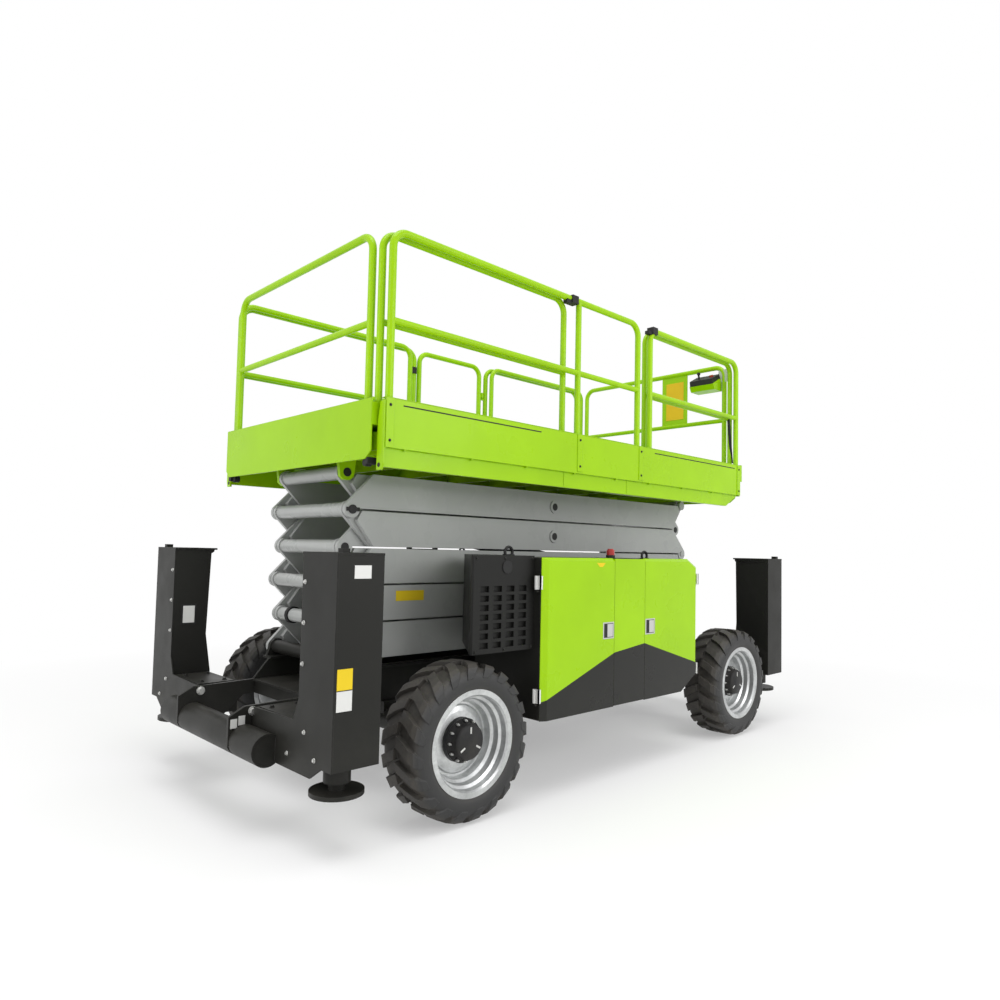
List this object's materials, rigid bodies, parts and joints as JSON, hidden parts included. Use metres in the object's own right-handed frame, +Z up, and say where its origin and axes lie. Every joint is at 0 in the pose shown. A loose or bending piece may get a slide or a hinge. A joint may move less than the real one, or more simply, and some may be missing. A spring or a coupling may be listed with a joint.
{
  "type": "rough terrain scissor lift",
  "caption": "Self-propelled aerial work platform: a railed deck with sliding extensions on a crossed-arm lift, a wheeled chassis with side trays and jack legs.",
  "frame": {"origin": "on the floor under the middle of the machine", "axes": "+X along the machine towards the fixed axle, +Y to the ladder and gate side, +Z up"},
  "size_m": [4.704, 2.3, 3.1459],
  "materials": {
    "tyre_rubber": "matte tread rubber",
    "rim_zinc": "bright zinc plating",
    "arm_paint": "satin silver grey paint",
    "bright_steel": "chromed rod",
    "cylinder_paint": "satin black paint",
    "lime_paint": "gloss lime green paint",
    "door_paint": "gloss lime green over satin charcoal",
    "charcoal_paint": "satin charcoal paint",
    "black_plastic": "black moulded plastic",
    "tank_plastic": "black moulded tank"
  },
  "bodies": {
    "chassis": {"chassis_frame": "charcoal_paint", "end_tubes": "charcoal_paint", "jack_columns": "charcoal_paint", "side_trays": "charcoal_paint", "vent_boxes": "charcoal_paint", "engine_block": "charcoal_paint", "hydraulic_tank": "tank_plastic", "ladder": "charcoal_paint", "steer_axle": "charcoal_paint", "fixed_axle": "charcoal_paint"},
    "near_knuckle": {"near_knuckle": "charcoal_paint"},
    "far_knuckle": {"far_knuckle": "charcoal_paint"},
    "tie_rod": {"tie_rod": "charcoal_paint"},
    "platform": {"platform_deck": "lime_paint", "main_rails": "lime_paint"},
    "entry_gate": {"entry_gate": "lime_paint"},
    "steer_end_extension": {"steer_end_extension_deck": "lime_paint", "steer_end_extension_rails": "lime_paint"},
    "fixed_end_extension": {"fixed_end_extension_deck": "lime_paint", "fixed_end_extension_rails": "lime_paint", "control_box": "black_plastic"},
    "steer_near_wheel": {"steer_near_tyre": "tyre_rubber", "steer_near_rim": "rim_zinc"},
    "steer_far_wheel": {"steer_far_tyre": "tyre_rubber", "steer_far_rim": "rim_zinc"},
    "fixed_near_wheel": {"fixed_near_tyre": "tyre_rubber", "fixed_near_rim": "rim_zinc"},
    "fixed_far_wheel": {"fixed_far_tyre": "tyre_rubber", "fixed_far_rim": "rim_zinc"},
    "outer_arm_1": {"outer_arm_1": "arm_paint"},
    "inner_arm_1": {"inner_arm_1": "arm_paint"},
    "outer_arm_2": {"outer_arm_2": "arm_paint"},
    "inner_arm_2": {"inner_arm_2": "arm_paint"},
    "outer_arm_3": {"outer_arm_3": "arm_paint"},
    "inner_arm_3": {"inner_arm_3": "arm_paint"},
    "outer_arm_4": {"outer_arm_4": "arm_paint"},
    "inner_arm_4": {"inner_arm_4": "arm_paint"},
    "outer_arm_5": {"outer_arm_5": "arm_paint"},
    "inner_arm_5": {"inner_arm_5": "arm_paint"},
    "lower_lift_barrel": {"lower_lift_barrel": "cylinder_paint"},
    "lower_lift_rod": {"lower_lift_rod": "bright_steel"},
    "upper_lift_barrel": {"upper_lift_barrel": "cylinder_paint"},
    "upper_lift_rod": {"upper_lift_rod": "bright_steel"},
    "near_steer_door": {"near_steer_door": "door_paint"},
    "near_fixed_door": {"near_fixed_door": "door_paint"},
    "far_steer_door": {"far_steer_door": "door_paint"},
    "far_fixed_door": {"far_fixed_door": "door_paint"},
    "near_steer_leg": {"near_steer_leg": "charcoal_paint"},
    "far_steer_leg": {"far_steer_leg": "charcoal_paint"},
    "near_fixed_leg": {"near_fixed_leg": "charcoal_paint"},
    "far_fixed_leg": {"far_fixed_leg": "charcoal_paint"}
  },
  "joints": [
    {"name": "steer", "type": "hinge", "parent": "chassis", "child": "near_knuckle", "pos_m": [-1.36, -0.822, 0.419], "axis": [0, 0, 1], "range_deg": [-25, 25]},
    {"name": "far_steer", "type": "hinge", "parent": "chassis", "child": "far_knuckle", "pos_m": [-1.36, 0.822, 0.419], "axis": [0, 0, 1], "range_deg": [-25, 25]},
    {"name": "tie_rod_turn", "type": "hinge", "parent": "near_knuckle", "child": "tie_rod", "pos_m": [-1.17, -0.822, 0.419], "axis": [0, 0, 1], "range_deg": [-25, 25]},
    {"name": "steer_near_spin", "type": "hinge", "parent": "near_knuckle", "child": "steer_near_wheel", "pos_m": [-1.36, -0.9975, 0.419], "axis": [0, 1, 0], "continuous": true},
    {"name": "steer_far_spin", "type": "hinge", "parent": "far_knuckle", "child": "steer_far_wheel", "pos_m": [-1.36, 0.9975, 0.419], "axis": [0, 1, 0], "continuous": true},
    {"name": "fixed_near_spin", "type": "hinge", "parent": "chassis", "child": "fixed_near_wheel", "pos_m": [1.512, -0.9975, 0.419], "axis": [0, 1, 0], "continuous": true},
    {"name": "fixed_far_spin", "type": "hinge", "parent": "chassis", "child": "fixed_far_wheel", "pos_m": [1.512, 0.9975, 0.419], "axis": [0, 1, 0], "continuous": true},
    {"name": "lift", "type": "hinge", "parent": "chassis", "child": "outer_arm_1", "pos_m": [-1.72, 0, 0.795], "axis": [0, -1, 0], "range_deg": [0, 45.5]},
    {"name": "outer_2_turn", "type": "hinge", "parent": "outer_arm_1", "child": "outer_arm_2", "pos_m": [1.72, 0, 1.012], "axis": [0, -1, 0], "range_deg": [-91, 0]},
    {"name": "outer_3_turn", "type": "hinge", "parent": "outer_arm_2", "child": "outer_arm_3", "pos_m": [-1.72, 0, 1.229], "axis": [0, -1, 0], "range_deg": [0, 91]},
    {"name": "outer_4_turn", "type": "hinge", "parent": "outer_arm_3", "child": "outer_arm_4", "pos_m": [1.72, 0, 1.446], "axis": [0, -1, 0], "range_deg": [-91, 0]},
    {"name": "outer_5_turn", "type": "hinge", "parent": "outer_arm_4", "child": "outer_arm_5", "pos_m": [-1.72, 0, 1.663], "axis": [0, -1, 0], "range_deg": [0, 91]},
    {"name": "inner_1_turn", "type": "hinge", "parent": "outer_arm_1", "child": "inner_arm_1", "pos_m": [0, 0, 0.9035], "axis": [0, -1, 0], "range_deg": [-91, 0]},
    {"name": "inner_2_turn", "type": "hinge", "parent": "outer_arm_2", "child": "inner_arm_2", "pos_m": [0, 0, 1.1205], "axis": [0, -1, 0], "range_deg": [0, 91]},
    {"name": "inner_3_turn", "type": "hinge", "parent": "outer_arm_3", "child": "inner_arm_3", "pos_m": [0, 0, 1.3375], "axis": [0, -1, 0], "range_deg": [-91, 0]},
    {"name": "inner_4_turn", "type": "hinge", "parent": "outer_arm_4", "child": "inner_arm_4", "pos_m": [0, 0, 1.5545], "axis": [0, -1, 0], "range_deg": [0, 91]},
    {"name": "inner_5_turn", "type": "hinge", "parent": "outer_arm_5", "child": "inner_arm_5", "pos_m": [0, 0, 1.7715], "axis": [0, -1, 0], "range_deg": [-91, 0]},
    {"name": "platform_level", "type": "hinge", "parent": "inner_arm_5", "child": "platform", "pos_m": [-1.72, 0, 1.88], "axis": [0, -1, 0], "range_deg": [0, 45.5]},
    {"name": "lower_barrel_turn", "type": "hinge", "parent": "inner_arm_1", "child": "lower_lift_barrel", "pos_m": [0.9, 0, 0.855], "axis": [0, -1, 0], "range_deg": [-9.36, 0]},
    {"name": "lower_rod_slide", "type": "slide", "parent": "lower_lift_barrel", "child": "lower_lift_rod", "axis": [-0.985, 0, 0.1724], "range_m": [0, 1.132]},
    {"name": "upper_barrel_turn", "type": "hinge", "parent": "inner_arm_3", "child": "upper_lift_barrel", "pos_m": [0.9, 0, 1.289], "axis": [0, -1, 0], "range_deg": [-9.36, 0]},
    {"name": "upper_rod_slide", "type": "slide", "parent": "upper_lift_barrel", "child": "upper_lift_rod", "axis": [-0.985, 0, 0.1724], "range_m": [0, 1.132]},
    {"name": "steer_end_extend", "type": "slide", "parent": "platform", "child": "steer_end_extension", "axis": [-1, 0, 0], "range_m": [0, 1.25]},
    {"name": "fixed_end_extend", "type": "slide", "parent": "platform", "child": "fixed_end_extension", "axis": [1, 0, 0], "range_m": [0, 1.1]},
    {"name": "gate_swing", "type": "hinge", "parent": "platform", "child": "entry_gate", "pos_m": [0.486, 0.916, 2.6], "axis": [0, 0, 1], "range_deg": [0, 90]},
    {"name": "near_steer_door_swing", "type": "hinge", "parent": "chassis", "child": "near_steer_door", "pos_m": [-0.863, -1.1, 0.9], "axis": [0, 0, -1], "range_deg": [0, 110]},
    {"name": "near_fixed_door_swing", "type": "hinge", "parent": "chassis", "child": "near_fixed_door", "pos_m": [0.863, -1.1, 0.9], "axis": [0, 0, 1], "range_deg": [0, 110]},
    {"name": "far_steer_door_swing", "type": "hinge", "parent": "chassis", "child": "far_steer_door", "pos_m": [-0.863, 1.1, 0.9], "axis": [0, 0, 1], "range_deg": [0, 110]},
    {"name": "far_fixed_door_swing", "type": "hinge", "parent": "chassis", "child": "far_fixed_door", "pos_m": [0.863, 1.1, 0.9], "axis": [0, 0, -1], "range_deg": [0, 110]},
    {"name": "near_steer_leg_slide", "type": "slide", "parent": "chassis", "child": "near_steer_leg", "axis": [0, 0, -1], "range_m": [0, 0.55]},
    {"name": "far_steer_leg_slide", "type": "slide", "parent": "chassis", "child": "far_steer_leg", "axis": [0, 0, -1], "range_m": [0, 0.55]},
    {"name": "near_fixed_leg_slide", "type": "slide", "parent": "chassis", "child": "near_fixed_leg", "axis": [0, 0, -1], "range_m": [0, 0.55]},
    {"name": "far_fixed_leg_slide", "type": "slide", "parent": "chassis", "child": "far_fixed_leg", "axis": [0, 0, -1], "range_m": [0, 0.55]}
  ],
  "couplings": [
    {"joint": "far_steer", "follows": "steer", "ratio": 1},
    {"joint": "tie_rod_turn", "follows": "steer", "ratio": -1},
    {"joint": "outer_2_turn", "follows": "lift", "ratio": -2},
    {"joint": "outer_3_turn", "follows": "lift", "ratio": 2},
    {"joint": "outer_4_turn", "follows": "lift", "ratio": -2},
    {"joint": "outer_5_turn", "follows": "lift", "ratio": 2},
    {"joint": "inner_1_turn", "follows": "lift", "ratio": -2},
    {"joint": "inner_2_turn", "follows": "lift", "ratio": 2},
    {"joint": "inner_3_turn", "follows": "lift", "ratio": -2},
    {"joint": "inner_4_turn", "follows": "lift", "ratio": 2},
    {"joint": "inner_5_turn", "follows": "lift", "ratio": -2},
    {"joint": "platform_level", "follows": "lift", "ratio": 1},
    {"joint": "lower_barrel_turn", "follows": "lift", "ratio": -0.20452},
    {"joint": "lower_rod_slide", "follows": "lift", "m_per_rad": 1.4229},
    {"joint": "upper_barrel_turn", "follows": "lift", "ratio": -0.20452},
    {"joint": "upper_rod_slide", "follows": "lift", "m_per_rad": 1.4229}
  ]
}
